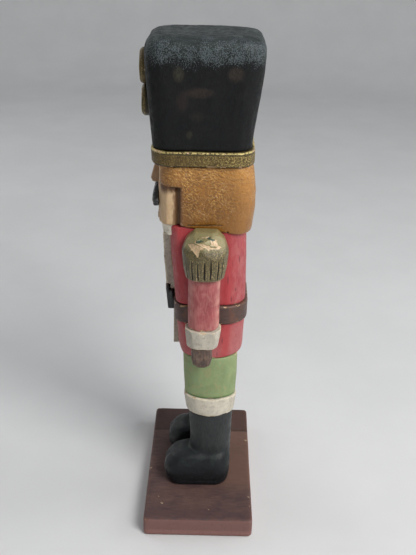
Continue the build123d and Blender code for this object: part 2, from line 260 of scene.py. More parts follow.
class Paint:
    """Builds one procedural material out of nodes."""

    def __init__(self, name):
        self.material = bpy.data.materials.new(name)
        self.material.use_nodes = True
        self.tree = self.material.node_tree
        self.shader = self.tree.nodes["Principled BSDF"]
        self.place = self.tree.nodes.new("ShaderNodeTexCoord").outputs["Object"]
        self.height = None
        split = self.node("ShaderNodeSeparateXYZ", {0: self.place})
        self.xyz = [self.math("MULTIPLY", out, 1 / MM) for out in split.outputs]

    def node(self, kind, inputs=None, **settings):
        made = self.tree.nodes.new(kind)
        for key, value in settings.items():
            setattr(made, key, value)
        for key, value in (inputs or {}).items():
            self.feed(made.inputs[key], value)
        return made

    def feed(self, socket, value):
        if isinstance(value, bpy.types.NodeSocket):
            self.tree.links.new(value, socket)
        else:
            socket.default_value = value

    def math(self, operation, a, b=0.0, clamp=False):
        return self.node("ShaderNodeMath", {0: a, 1: b}, operation=operation,
                         use_clamp=clamp).outputs[0]

    def times(self, a, b):
        return self.math("MULTIPLY", a, b)

    def add(self, a, b, clamp=False):
        return self.math("ADD", a, b, clamp)

    def range(self, value, low, high, out_low=0.0, out_high=1.0):
        return self.node("ShaderNodeMapRange", {
            "Value": value, "From Min": low, "From Max": high,
            "To Min": out_low, "To Max": out_high},
            interpolation_type="SMOOTHSTEP").outputs["Result"]

    def mix(self, factor, a, b):
        made = self.node("ShaderNodeMix", {0: factor}, data_type="RGBA")
        self.feed(made.inputs[6], colour(a))
        self.feed(made.inputs[7], colour(b))
        return made.outputs[2]

    def moved(self, size, stretch, seed):
        scale = [1 / (size * MM * s) for s in stretch]
        return self.node("ShaderNodeMapping", {
            "Vector": self.place, "Scale": scale,
            "Location": (seed * 1.7, seed * 2.9, seed * 4.1)}).outputs[0]

    def noise(self, size, seed=0, stretch=(1, 1, 1), detail=3.0, rough=0.55, warp=0.0):
        return self.node("ShaderNodeTexNoise", {
            "Vector": self.moved(size, stretch, seed), "Scale": 1.0, "Detail": detail,
            "Roughness": rough, "Distortion": warp}).outputs[0]

    def blotches(self, low, high, *noise, **settings):
        """Noise turned into soft patches: 0 below the low level and 1 above the high one."""
        return self.range(self.noise(*noise, **settings), low, high)

    def mark(self, name):
        return self.node("ShaderNodeAttribute", attribute_name=name).outputs["Fac"]

    def patch(self, y, z, half_width, half_height):
        """A soft blot on both sides of the figure, at one place along and up."""
        across = self.math("DIVIDE", self.math("SUBTRACT", self.xyz[1], y), half_width)
        up = self.math("DIVIDE", self.math("SUBTRACT", self.xyz[2], z), half_height)
        square = self.add(self.times(across, across), self.times(up, up))
        return self.range(square, 1.0, 0.0)

    def bump(self, height, depth):
        """Adds a relief of that depth on top of those before it."""
        inputs = {"Height": height, "Distance": depth * MM, "Strength": 1.0}
        if self.height is not None:
            inputs["Normal"] = self.height
        self.height = self.node("ShaderNodeBump", inputs).outputs[0]

    def done(self, tint, rough, **shader):
        self.feed(self.shader.inputs["Base Color"], tint)
        self.feed(self.shader.inputs["Roughness"], rough)
        for key, value in shader.items():
            title = key.replace("_", " ").title().replace("Ior", "IOR")
            self.feed(self.shader.inputs[title], value)
        if self.height is not None:
            self.feed(self.shader.inputs["Normal"], self.height)
        return self.material


UPRIGHT = (1.0, 1.0, 14.0)


class WoodPaint(Paint):
    """Thin old paint on carved wood: mottled, brushed, dirty in hollows, worn on edges."""

    def __init__(self, name, main, other, faded, dirt, wood, seed, grain=UPRIGHT,
                 wear=0.5, brushing=0.5, specks=0.3, mottle=11.0, grime=0.7):
        super().__init__(name)
        self.seed = seed
        self.edge, self.hollow, self.chips = (
            self.mark(name) for name in ("edge", "hollow", "chip"))
        self.streak = self.noise(0.75, seed + 1, grain, 4, 0.6)
        self.fine = self.noise(0.42, seed + 2, (1, 1, 1.6), 3, 0.65)
        cloud = self.noise(mottle, seed + 3, (1, 1, 1.5), 4, 0.6, 0.6)
        tint = self.mix(self.range(cloud, 0.38, 0.64), main, other)
        brushed = self.times(self.range(self.streak, 0.42, 0.66), brushing)
        tint = self.mix(brushed, tint, faded)
        rub = self.add(self.edge, self.range(self.fine, 0.35, 0.65, -0.45, 0.3))
        rub = self.times(self.range(rub, 0.35, 0.9), wear)
        tint = self.mix(rub, tint, faded)
        pit = self.add(self.times(self.hollow, grime), self.range(self.fine, 0.60, 0.74, 0, specks))
        split = self.noise(0.5, seed + 4, [g * 1.7 for g in grain], 2, 0.5)
        split = self.range(split, 0.66, 0.74)
        pit = self.add(pit, self.times(split, specks), True)
        self.tint = self.mix(pit, tint, dirt)
        self.split = split
        self.wood = colour(wood)

    def lay(self, mask, share, tint):
        """Lays a tint over the paint where the mask says, at that share of full strength."""
        self.tint = self.mix(self.times(mask, share), self.tint, tint)

    def finish(self, rough=0.6, relief=1.0, spread=0.16, **shader):
        """Bare wood shows in the chips; relief scales the bumps."""
        bare = self.mix(self.range(self.streak, 0.35, 0.65), self.wood,
                        tuple(0.72 * part for part in self.wood[:3]) + (1.0,))
        tint = self.mix(self.range(self.chips, 0.3, 0.6), self.tint, bare)
        self.bump(self.streak, 0.10 * relief)
        self.bump(self.fine, 0.07 * relief)
        self.bump(self.split, -0.10 * relief)
        gloss = self.range(self.noise(3.0, self.seed + 9, detail=3), 0.35, 0.65,
                           rough - spread / 2, rough + spread / 2)
        return self.done(tint, gloss, **shader)


CREAM_WOOD = (206, 176, 138)
WARM_WOOD = (190, 150, 105)


def black_hat():
    made = WoodPaint("black_hat_paint", (15, 16, 18), (20, 20, 21), (32, 34, 35), (6, 6, 8),
                     (96, 82, 64), 11, grain=(1, 1, 3), wear=0.35, brushing=0.35, specks=0.5,
                     mottle=7)
    z = made.xyz[2]
    brushed = made.noise(1.6, 21, (1, 5, 1), 4)
    grey = made.mix(made.range(brushed, 0.35, 0.65), (36, 42, 43), (50, 57, 58))
    made.lay(made.range(z, 251.0, 259.0), 0.85, grey)
    grains = made.noise(0.5, 23, (1, 1, 1), 2, 0.5)
    cloud = made.noise(7.0, 22, detail=2)
    level = made.add(made.range(z, 243.0, 255.0, -0.30, 0.05),
                     made.range(cloud, 0.35, 0.65, -0.08, 0.04))
    level = made.add(level, made.range(z, 257.0, 262.0, 0.0, -0.10))
    flecks = made.range(made.add(grains, level), 0.48, 0.57)
    made.lay(flecks, 0.8, (88, 97, 99))
    pits = made.blotches(0.55, 0.62, 0.7, 24, detail=2)
    pits = made.times(pits, made.times(made.range(z, 242.0, 248.0), made.range(z, 262, 256)))
    made.lay(pits, 0.8, (9, 10, 11))
    scuffs = ((-12.8, 246.0, 3.4, 4.6, (70, 67, 54), 0.6),
              (-3.0, 237.5, 9.0, 3.2, (62, 52, 46), 0.6),
              (-11.0, 233.0, 4.0, 6.0, (50, 42, 38), 0.6),
              (14.0, 246.5, 5.0, 4.5, (66, 58, 50), 0.6),
              (-7.5, 217.0, 2.0, 2.6, (62, 60, 46), 0.6),
              (-4.0, 226.0, 5.0, 3.0, (40, 38, 34), 0.6))
    worn = made.range(made.noise(0.9, 27, (1, 1, 2), 4, 0.7), 0.35, 0.65, 0.45, 1.0)
    for middle_y, middle_z, half_width, half_height, tint, share in scuffs:
        blot = made.patch(middle_y, middle_z, half_width, half_height)
        made.lay(made.times(blot, worn), share, tint)
    made.bump(grains, 0.20)
    return made.finish(0.5, 0.8, 0.2, specular_ior_level=0.2)


def gold_band(name, seed, chip_wood, main, other, fleck, wear=0.6):
    made = WoodPaint(name, main, other, fleck, (30, 26, 18), chip_wood, seed, grain=(1, 1, 3),
                     wear=wear, brushing=0.15, specks=0.5, mottle=5, grime=0.9)
    # Painted light: the pale flecks thicken towards the back, so the back of the gold reads lighter.
    back = made.range(made.xyz[1], -14.0, 14.0, 0.2, 1.0)
    flecks = made.blotches(0.51, 0.57, 0.62, seed + 11, detail=2, rough=0.6)
    made.tint = made.mix(made.times(flecks, back), made.tint, fleck)
    pits = made.blotches(0.57, 0.63, 0.7, seed + 13, detail=2)
    made.lay(pits, 0.7, (40, 34, 22))
    made.bump(made.noise(0.7, seed + 12, detail=3, rough=0.7), 0.16)
    return made


def hat_band_paint():
    made = gold_band("antique_gold_band", 31, CREAM_WOOD, (94, 74, 36), (78, 61, 28),
                     (172, 152, 94))
    z = made.xyz[2]
    line = made.range(z, 202.0, 201.2)
    made.lay(line, 0.85, (24, 21, 15))
    # Painted shade: the top ledge beside the hat is darker.
    ledge = made.range(z, 206.7, 207.2)
    made.lay(ledge, 0.8, (60, 52, 32))
    # Painted highlight: a broken pale line along the outer top edge.
    broken = made.blotches(0.40, 0.52, 1.3, 35, detail=3)
    rim = made.times(made.times(ledge, made.range(made.edge, 0.25, 0.7)), broken)
    made.tint = made.mix(rim, made.tint, (196, 178, 116))
    return made.finish(0.45, 1.0, 0.2, metallic=0.3)


def epaulette_paint():
    made = gold_band("antique_gold_epaulette", 41, CREAM_WOOD, (84, 74, 46), (70, 63, 40),
                     (142, 126, 82), 0.55)
    made.lay(made.mark("groove"), 0.95, (17, 15, 10))
    made.lay(made.mark("green"), 0.85, (60, 82, 66))
    # Paler gold over the crown: partly worn paint, partly a painted highlight on the top.
    made.lay(made.mark("crown"), 0.8, (146, 136, 94))
    return made.finish(0.4, 1.0, 0.2, metallic=0.15, coat_weight=0.3, coat_roughness=0.3)


def badge_paint():
    made = gold_band("antique_gold_badge", 51, CREAM_WOOD, (84, 70, 38), (64, 54, 32),
                     (150, 130, 76), 0.8)
    side = made.range(made.xyz[1], -30.2, -29.6)
    made.lay(side, 0.8, (38, 34, 27))
    return made.finish(0.45, 1.0, 0.2, metallic=0.25)


def hair_paint():
    made = WoodPaint("ochre_hair_paint", (138, 88, 16), (120, 74, 10), (168, 114, 40),
                     (64, 36, 10), WARM_WOOD, 61, grain=(1, 1, 8), wear=0.35, brushing=0.25,
                     specks=0.35, mottle=7, grime=0.5)
    z, y = made.xyz[2], made.xyz[1]
    # Lighter towards the top and the back, darker towards the hem: partly paint tone, partly painted
    # light and shade.
    high = made.add(made.range(z, 176.0, 201.0, 0.0, 0.6), made.range(y, 2.0, 24.0, 0.0, 0.45),
                    True)
    made.lay(high, 0.6, (196, 140, 74))
    low = made.range(z, 186.0, 170.0)
    made.lay(low, 0.4, (118, 74, 14))
    # Painted shade: the lower front of the hair, at the temple, is darker brown.
    temple = made.times(made.range(z, 194.0, 189.0), made.range(y, -9.0, -11.0))
    made.lay(temple, 0.5, (104, 66, 36))
    made.lay(made.mark("cut"), 0.7, (84, 50, 16))
    # Painted highlights: pale glints along the raised gouge strokes.
    made.lay(made.mark("ridge_glint"), 0.8, (222, 176, 104))
    # Painted shade: darker brown along the hair's lower front edge beside the cheek.
    made.lay(made.mark("rim"), 0.7, (100, 64, 32))
    crack = made.mark("crack")
    made.tint = made.mix(crack, made.tint, (40, 25, 14))
    return made.finish(0.36, 0.8, 0.2, coat_weight=0.3, coat_roughness=0.25)


def coat_paint(name, seed, main, other, faded, wear):
    made = WoodPaint(name, main, other, faded, (78, 26, 32), CREAM_WOOD, seed, grain=(1, 1, 6),
                     wear=wear, brushing=0.4, specks=0.45, mottle=8, grime=0.5)
    dusty = made.blotches(0.46, 0.66, 4.5, seed + 21, (1, 1, 1.6), 4, 0.62, 0.8)
    made.lay(dusty, 0.45, faded)
    low = made.range(made.xyz[2], 126.0, 98.0)
    made.lay(low, 0.6, faded)
    # Painted shade: a deeper, darker red beside the arm, under the hair hem and a little on the
    # rims.
    made.lay(made.mark("sheltered_shade"), 0.7, (172, 48, 54))
    made.lay(made.mark("pale"), 0.75, (206, 150, 138))
    for along, up, length in ((11.1, 104.3, 2.6), (13.2, 140.0, 3.2), (15.3, 128.6, 2.4),
                              (19.0, 151.0, 2.8), (8.5, 96.0, 1.8), (17.5, 134.0, 1.6)):
        split = made.patch(along, up, 0.4, length)
        made.lay(split, 0.7, (76, 34, 36))
    return made.finish(0.6, 1.1, 0.18)


def white_paint(name, seed, main, other, dirt, wear=0.6):
    made = WoodPaint(name, main, other, (226, 212, 184), dirt, CREAM_WOOD, seed, grain=(1, 1, 2.2),
                     wear=wear, brushing=0.2, specks=0.3, mottle=5, grime=0.6)
    stain = made.blotches(0.5, 0.66, 2.6, seed + 21, detail=4, rough=0.65)
    made.lay(stain, 0.3, dirt)
    return made.finish(0.6, 0.9, 0.16)


def belt_paint():
    made = WoodPaint("brown_belt_paint", (80, 58, 52), (68, 50, 46), (116, 86, 72), (34, 26, 22),
                     (196, 160, 118), 81, grain=(5, 5, 1), wear=0.4, brushing=0.2, specks=0.4,
                     mottle=6)
    patch = made.blotches(0.52, 0.66, 6.0, 85, detail=3)
    made.lay(patch, 0.5, (112, 68, 46))
    return made.finish(0.5, 0.9, 0.2)


def trouser_paint():
    made = WoodPaint("green_trouser_paint", (138, 154, 108), (126, 142, 98), (150, 166, 122),
                     (80, 92, 60), CREAM_WOOD, 91, grain=(1, 1, 3), wear=0.35, brushing=0.15,
                     specks=0.14, mottle=7, grime=0.5)
    warm = made.blotches(0.50, 0.68, 3.0, 95, (1, 1, 1.3), 4, 0.6, 0.8)
    made.lay(warm, 0.35, (172, 146, 108))
    cool = made.blotches(0.52, 0.68, 4.0, 96, (1, 1, 2.0), 3, 0.6, 0.8)
    made.lay(cool, 0.35, (122, 152, 112))
    line = made.range(made.xyz[2], 69.4, 68.0)
    made.lay(line, 0.75, (70, 108, 50))
    return made.finish(0.6, 0.7, 0.14)


def boot_paint():
    made = WoodPaint("black_boot_paint", (49, 51, 52), (42, 44, 45), (72, 74, 73), (16, 17, 19),
                     (120, 100, 80), 101, grain=(1, 1, 5), wear=0.4, brushing=0.25, specks=0.25,
                     mottle=8, grime=0.6)
    foot = made.range(made.xyz[2], 37.0, 27.0)
    made.lay(foot, 0.85, (15, 17, 21))
    green = made.times(made.times(foot, made.range(made.xyz[2], 21.0, 27.0)),
                       made.blotches(0.5, 0.62, 4.0, 105, detail=2))
    made.lay(green, 0.35, (38, 54, 49))
    return made.finish(0.46, 0.8, 0.2, specular_ior_level=0.3)


def base_paint():
    made = WoodPaint("stained_base", (88, 67, 63), (76, 59, 58), (112, 84, 76), (40, 30, 29),
                     (206, 178, 142), 111, grain=(2, 9, 1), wear=0.45, brushing=0.35, specks=0.3,
                     mottle=13, grime=0.5)
    x, y, z = made.xyz
    warm = made.times(made.range(x, 34.0, 18.0), made.range(y, 4.0, 16.0))
    made.lay(warm, 0.6, (112, 84, 70))
    far = made.range(x, -29.2, -30.4)
    made.lay(far, 0.65, (58, 40, 37))
    line = made.times(made.range(x, -31.5, -30.4), made.range(x, -28.6, -29.8))
    made.lay(line, 0.5, (40, 29, 28))
    near_strip = made.times(made.range(x, 40.0, 52.0), made.range(z, 10.6, 11.0))
    made.lay(near_strip, 0.35, (64, 48, 52))
    side = made.range(z, 10.9, 10.2)
    made.lay(side, 0.7, (132, 96, 90))
    pale = made.times(made.range(z, 4.6, 3.0), made.range(z, 0.2, 1.4))
    made.lay(pale, 0.5, (150, 108, 102))
    pores = made.blotches(0.60, 0.68, 0.4, 118, (1, 1, 9), 2)
    made.lay(made.times(pores, side), 0.45, (96, 66, 62))
    redder = made.times(made.edge, made.blotches(0.42, 0.58, 4.0, 119, detail=2))
    made.lay(redder, 0.6, (120, 70, 56))
    made.lay(made.mark("nick"), 0.75, (178, 156, 130))
    return made.finish(0.6, 0.8, 0.08, specular_ior_level=0.3)


def glove_paint():
    made = WoodPaint("brown_glove_paint", (84, 68, 62), (72, 58, 52), (134, 110, 94), (36, 30, 28),
                     CREAM_WOOD, 121, wear=0.7, brushing=0.4, specks=0.4, mottle=4)
    rub = made.blotches(0.5, 0.66, 4.0, 125, detail=4, rough=0.65)
    made.lay(rub, 0.5, (140, 112, 92))
    return made.finish(0.55, 1.1, 0.18)


def ellipse(made, x, z, width, height):
    """Distance from a point on the front, 1 on the ellipse; both sides of the face."""
    across = made.math("SUBTRACT", made.math("ABSOLUTE", made.xyz[0]), x)
    across = made.math("DIVIDE", across, width)
    up = made.math("DIVIDE", made.math("SUBTRACT", made.xyz[2], z), height)
    square = made.add(made.times(across, across), made.times(up, up))
    return made.math("SQRT", square)


def face_paint():
    made = WoodPaint("face_paint", (202, 172, 134), (188, 156, 118), (206, 180, 146), (84, 62, 46),
                     CREAM_WOOD, 131, grain=(1, 1, 4), wear=0.4, brushing=0.25, specks=0.35,
                     mottle=4, grime=0.7)
    x, y, z = made.xyz
    front = made.range(y, -20.6, -22.4)
    blush = made.times(made.range(ellipse(made, 11.6, 189.0, 4.2, 3.4), 1.0, 0.2), front)
    made.lay(blush, 0.5, (196, 96, 84))
    arch = ellipse(made, 7.4, 193.4, 4.8, 5.0)
    brow = made.times(made.times(made.range(arch, 0.82, 0.92), made.range(arch, 1.12, 1.02)),
                      made.times(made.range(z, 196.0, 197.0), front))
    made.tint = made.mix(brow, made.tint, (46, 34, 28))
    rough_edge = made.noise(1.2, 137, (1, 1, 3), 3)
    # Painted shade: the cheek turns darker brown towards the groove at the hair.
    back = made.add(y, made.range(rough_edge, 0.3, 0.7, -0.6, 0.6))
    made.tint = made.mix(made.range(back, -16.4, -14.4), made.tint, (128, 96, 66))
    made.tint = made.mix(made.range(back, -13.8, -12.0), made.tint, (104, 74, 48))
    hairline = made.times(made.range(made.math("ABSOLUTE", x), 15.0, 17.0),
                          made.range(z, 188.0, 190.0))
    # Painted shadow: darker brown along the top of the cheek, under the overhang of the hair.
    top = made.add(z, made.range(rough_edge, 0.3, 0.7, -0.6, 0.6))
    made.tint = made.mix(made.times(made.range(top, 185.0, 188.6), made.range(y, -22.6, -21.6)),
                         made.tint, (96, 66, 42))
    made.lay(hairline, 0.9, (112, 72, 34))
    return made.finish(0.55, 0.9, 0.16)


# Painted shade: a darker, browner copy of the face paint, laid on the nose and the jaw front.
def shaded_face_paint():
    made = WoodPaint("face_paint_shaded", (172, 136, 104), (158, 122, 92), (198, 168, 136),
                     (96, 72, 56), CREAM_WOOD, 141, wear=0.5, brushing=0.3, specks=0.3, mottle=5)
    return made.finish(0.55, 1.0, 0.16)


def eye_paint():
    made = Paint("eye_paint")
    ring = ellipse(made, 7.4, 194.0, 1.0, 1.0)
    age = made.noise(0.8, 3, detail=3)
    white = made.mix(made.range(age, 0.4, 0.65), (214, 206, 192), (190, 180, 164))
    tint = made.mix(made.range(ring, 1.6, 1.45), white, (70, 86, 94))
    tint = made.mix(made.range(ring, 0.9, 0.78), tint, (22, 21, 22))
    lid = made.mix(made.range(age, 0.4, 0.6), (186, 152, 118), (168, 134, 102))
    almond = ellipse(made, 7.4, 194.0, 2.7, 1.55)
    tint = made.mix(made.range(almond, 0.94, 1.04), tint, (58, 42, 34))
    tint = made.mix(made.range(almond, 1.14, 1.24), tint, lid)
    made.bump(made.noise(0.6, 5), 0.02)
    return made.done(tint, made.range(age, 0.4, 0.6, 0.22, 0.34))


def tooth_paint():
    made = WoodPaint("tooth_paint", (222, 212, 190), (206, 194, 170), (234, 228, 210),
                     (84, 66, 50), CREAM_WOOD, 151, wear=0.3, brushing=0.2, specks=0.2, mottle=3,
                     grime=0.95)
    return made.finish(0.4, 0.7, 0.14)


def black_gloss(name, seed):
    made = WoodPaint(name, (23, 24, 26), (30, 31, 33), (72, 74, 76), (14, 14, 16), (130, 106, 84),
                     seed, wear=0.5, brushing=0.35, specks=0.3, mottle=5)
    return made.finish(0.4, 1.0, 0.2, coat_weight=0.15, coat_roughness=0.3)


def plain_wood():
    """Turned beech, for dowels and pegs inside the figure."""
    made = Paint("bare_dowel")
    rings = made.noise(1.4, 7, (1, 1, 10), 4, 0.6)
    pores = made.blotches(0.62, 0.72, 0.3, 9, (1, 1, 8), 2)
    tint = made.mix(made.range(rings, 0.35, 0.65), (205, 172, 130), (178, 140, 98))
    tint = made.mix(made.times(pores, 0.6), tint, (120, 86, 56))
    made.bump(rings, 0.05)
    made.bump(pores, -0.04)
    return made.done(tint, made.range(rings, 0.3, 0.7, 0.55, 0.7))


def screw_steel():
    made = Paint("screw_steel")
    brushed = made.noise(0.5, 5, (1, 1, 0.2), 3)
    stain = made.blotches(0.5, 0.7, 2.4, 6, detail=4)
    tint = made.mix(made.times(stain, 0.5), (150, 148, 142), (104, 82, 62))
    made.bump(brushed, 0.03)
    return made.done(tint, made.range(brushed, 0.3, 0.7, 0.3, 0.5), metallic=1.0)


# Pieces -----------------------------------------------------------------------

FIGURE = "figure"
BASE_TOP = 11.3
SHOULDER_Y, SHOULDER_Z = 1.2, 160.0
COAT_SIDE = 21.8
EYE_X, EYE_Z = 7.4, 194.2


def base_piece():
    made = Carving("base_board", 0.62, 4)
    made.push(0.05 * noise(made.points, 9, 201) + 0.03 * noise(made.points, 1.6, 202, (9, 1, 1)))
    made.chip(203, 0.3, 2.6, 0.30)
    knocks = ((42.0, -20.5, 11.3, 0.65), (36.5, -22.6, 11.3, 0.45), (35.0, 28.4, 11.0, 0.7),
              (43.0, 28.8, 11.0, 0.6), (57.2, -19.8, 11.2, 1.6), (57.2, -29.6, 10.8, 1.9),
              (57.4, -2.8, 8.8, 0.9), (57.4, 12.0, 11.0, 0.8), (-20.0, 28.6, 11.0, 0.8),
              (-56.0, 8.0, 11.0, 1.3), (-57.0, -20.0, 5.0, 0.9), (10.0, -29.6, 10.8, 1.1),
              (20.0, -10.0, 11.3, 0.5), (47.0, 6.0, 11.3, 0.5))
    ragged = 0.7 * noise(made.points, 0.9, 204)
    nick = np.zeros(len(made.points))
    for *place, radius in knocks:
        distance = np.linalg.norm(made.points - np.array(place), axis=1) / radius
        nick = np.maximum(nick, ramp(distance + ragged, 1.0, 0.75))
    made.push(-0.3 * nick)
    made.marks["nick"] = nick
    under = made.z < 0.4
    made.points[under, 2] = np.maximum(made.whole[under, 2], 0)
    made.points[:, 2] = np.maximum(made.points[:, 2], 0)
    made.done(FIGURE, "stained_base", base_paint())


def boot_piece(side, seed):
    made = Carving(side + "_boot", 0.55, 5)
    made.whittle(seed, 0.22, 7.5, (1, 1, 1.5))
    toe = ramp(-made.y, 6, 12) * ramp(made.z, 31, 24)
    welt = near_to(made.z, 14.6, 0.55) * ramp(made.z, 11.6, 12.6)
    made.push(-0.22 * welt + 0.12 * toe * noise(made.points, 4, seed + 9))
    shorter = 0.9 if side == "left" else 1.9
    made.points[:, 1] += shorter * ramp(-made.y, 10, 20) * ramp(made.z, 34, 28)
    made.chip(seed + 20, 0.12, 2.5, 0.22)
    low = made.whole[:, 2] < 12.0
    made.points[low, 2] = np.maximum(made.points[low, 2], BASE_TOP + 0.02)
    made.done(FIGURE, "black_boot_paint", paints["boot"])


def block_piece(node, slot, paint, voxel, seed, depth=0.16, facet=6.5, rounding=4,
                chips=(0.12, 2.2, 0.25), stretch=(1, 1, 1.7), body=FIGURE, hold=None, shape=None):
    """A block of the figure: rounded, knife-cut and chipped, then shaped further."""
    made = Carving(node, voxel, rounding)
    made.whittle(seed, depth, facet, stretch)
    if shape:
        shape(made, seed)
    made.chip(seed + 20, *chips)
    if hold:
        hold(made)
    return made.done(body, slot, paint)


def wavy_rim(made, seed):
    """Uneven brushed and cut edges, top and bottom."""
    low, high = made.z.min(), made.z.max()
    lift = 0.45 * noise(made.points, 7, seed + 31, (1, 1, 9))
    share = ramp(made.z, low + 3, low) + ramp(made.z, high - 3, high)
    made.points[:, 2] += lift * share * 0.8


def vertical_cuts(made, seed):
    """Shallow upright gouge lines, as a narrow chisel leaves."""
    lines = noise(made.points, 2.2, seed + 41, (1, 1, 12))
    made.push(0.10 * lines * ramp(np.abs(lines), 0.1, 0.5))


def coat_marks(made, seed):
    """Upright gouge lines, then painted shade: a deeper, darker red beside the arm, under the hair
    hem and a little on the rims.
    """
    vertical_cuts(made, seed)
    beside = near_to(np.abs(made.y - SHOULDER_Y), 11.5, 4.0) * ramp(np.abs(made.x), 18, 21)
    under_hair = ramp(made.z, 164, 168.5)
    rims = ramp(made.bend(3), 0.08, 0.35)
    patch = 0.5 + 0.5 * noise(made.points, 6, seed + 51, (1, 1, 2))
    made.marks["sheltered_shade"] = np.clip(
        (0.9 * beside + 0.6 * under_hair + 0.3 * rims) * (0.5 + patch), 0, 1)


def collar_shape(made, seed):
    """The collar's ends are cut on a slant, down towards the plastron."""
    slant = 0.62 * (made.z - 166.4) + 0.3 * noise(made.points, 3, seed)
    ends = ramp(made.y, -19.5, -15.5) * ramp(np.abs(made.x), 12.0, 14.0)
    made.points[:, 1] = made.y + slant * ends


def square_corners(front, proud=0.0):
    """Tightens the two front corners, which are cut squarer than the back ones."""
    def shape(made, seed):
        size = 12.0
        reach = np.abs(made.x) - (COAT_SIDE + proud - size)
        ahead = -made.y - (front + proud - size)
        corner = (reach > 0) & (ahead > 0)
        turn = np.arctan2(ahead, reach)
        power = 3.4
        grow = (np.abs(np.cos(turn)) ** power + np.abs(np.sin(turn)) ** power) ** (-1 / power)
        side = np.sign(made.x)
        made.points[corner, 0] = (side * (COAT_SIDE + proud - size + reach * grow))[corner]
        made.points[corner, 1] = -(front + proud - size + ahead * grow)[corner]
    return shape


def both(*shapes):
    def shape(made, seed):
        for step in shapes:
            step(made, seed)
    return shape


def panel_shape(made, seed):
    """The plastron stops short of the belt."""
    made.points[:, 2] = made.z + 2.4 * ramp(made.z, 128.5, 125.5)


def buckle_shape(made, seed):
    """The thick part reaches over the belt, and the whole leans forward at the top."""
    made.points[:, 2] += 2.6 * ramp(made.y, -18.0, -17.2) * near_to(made.z, 125.2, 0.9)
    made.points[:, 1] -= 0.09 * (made.z - 123.0) + 0.15


def flat_cuts(made, sign, depth, directions):
    """Slices flat planes off the outer side, each square to a direction (out, along, up)."""
    for out, along, up in directions:
        normal = np.array((out * sign, along, up)) / math.sqrt(out ** 2 + along ** 2 + up ** 2)
        height = made.points @ normal
        over = np.maximum(height - (height.max() - depth), 0)
        made.points -= 0.92 * over[:, None] * normal


def cuff_facets(made, seed):
    """A few flat knife-cut planes round the outside of the cuff."""
    wavy_rim(made, seed)
    flat_cuts(made, np.sign(made.x.mean()), 0.75, [
        (0.92, -0.36, 0.16), (0.95, 0.24, -0.16), (0.62, 0.78, 0.08), (0.58, -0.80, -0.06)])


def sleeve_shape(made, seed):
    """Gouge lines, and pale worn paint down the front and back corners."""
    vertical_cuts(made, seed)
    pale = near_to(made.y, made.y.max() - 0.6, 1.5) + 0.6 * near_to(
        made.y, made.y.min() + 1.6, 1.8)
    made.marks["pale"] = np.clip(pale * (0.55 + 0.6 * noise(made.points, 3, seed + 9)), 0, 1)


def seat_pegs(made):
    """The peg holes stay round and clear of the pegs."""
    hole, inner, outer = 4.25, 2.6, 5.0
    across, up = made.whole[:, 1] - SHOULDER_Y, made.whole[:, 2] - SHOULDER_Z
    radius = np.hypot(across, up)
    grow = hole / np.maximum(radius, 0.1)
    rim = (radius > inner) & (radius < outer)
    made.points[rim, 1] = SHOULDER_Y + across[rim] * grow[rim]
    made.points[rim, 2] = SHOULDER_Z + up[rim] * grow[rim]


def hold_sides(limit):
    def hold(made):
        made.points[:, 0] = np.clip(made.points[:, 0], -limit, limit)
    return hold


def hold_torso(made):
    seat_pegs(made)
    hold_sides(21.95)(made)


def hold_arm(side):
    sign = 1 if side == "left" else -1

    def hold(made):
        made.points[:, 0] = sign * np.maximum(made.points[:, 0] * sign, 23.65)
    return hold


def flutes(made, seed):
    """Upright V cuts round the lower half of the epaulette, each with a pointed top."""
    sign = np.sign(made.x.mean())
    angle = np.degrees(np.arctan2(made.y - SHOULDER_Y, made.x * sign - 25.5))
    pitch = 14.6
    index = np.floor(angle / pitch + 0.5)
    cell = np.stack([index, index * 0, index * 0], axis=1).astype(np.int64)
    offset = angle - index * pitch - 3.2 * (lattice(cell, seed + 61) - 0.5)
    top = 157.6 + 2.6 * (lattice(cell, seed + 62) - 0.5)
    width = 2.5 * ramp(top - made.z, 0, 5.0) ** 0.6 * ramp(made.z, 145.8, 147.4)
    groove = np.where(width > 0.05, np.clip(1 - np.abs(offset) / np.maximum(width, 0.05), 0, 1), 0)
    groove *= ramp(made.x * sign, 24.0, 26.0)
    made.push(-0.8 * groove)
    made.marks["groove"] = ramp(groove, 0.2, 0.7)
    y = made.y * sign + (0.0 if sign > 0 else 1.6)
    z = made.z
    ragged = 0.5 * noise(made.points, 1.6, seed + 63) + 0.3 * noise(made.points, 0.7, seed + 64)
    scar = inside(y, z, [(-7.9, 164.0), (-5.3, 165.2), (-1.5, 164.8), (1.1, 163.4), (-1.3, 162.4),
                         (-2.2, 158.3), (-3.8, 160.4), (-6.2, 162.6)]) + 0.4 * ragged
    crown = inside(y, z, [(-5.6, 165.0), (-3.5, 168.0), (2.1, 168.8), (6.4, 167.6), (9.8, 165.2),
                          (9.1, 163.0), (6.6, 161.6), (1.1, 162.9), (-1.5, 164.6)]) + ragged
    leaf = np.maximum(
        inside(y, z, [(-4.8, 165.7), (-3.0, 167.4), (0.3, 167.7), (2.2, 166.9), (-0.6, 166.0),
                      (-3.4, 165.2)]),
        inside(y, z, [(0.3, 168.0), (4.0, 168.4), (7.2, 166.4), (4.1, 166.6)])) + 0.9 * ragged
    flaked = ramp(layered(made.points, 1.5, seed + 65, (1, 1.8, 1), 2), -0.1, 0.2)
    outer = ramp(made.x * sign, 25.5, 27.0)
    green = ramp(leaf, 0.1, 0.35) * outer
    bare = np.maximum(ramp(scar, 0.05, 0.35), ramp(crown, 0.1, 0.4) * flaked) * outer
    made.push(-0.2 * bare)
    made.marks["green"] = green
    made.marks["patch"] = bare * (1 - green)
    # Paler gold over the crown: partly worn paint, partly a painted highlight on the top.
    made.marks["crown"] = ramp(z, 160.5, 164.0) * (1 - bare)


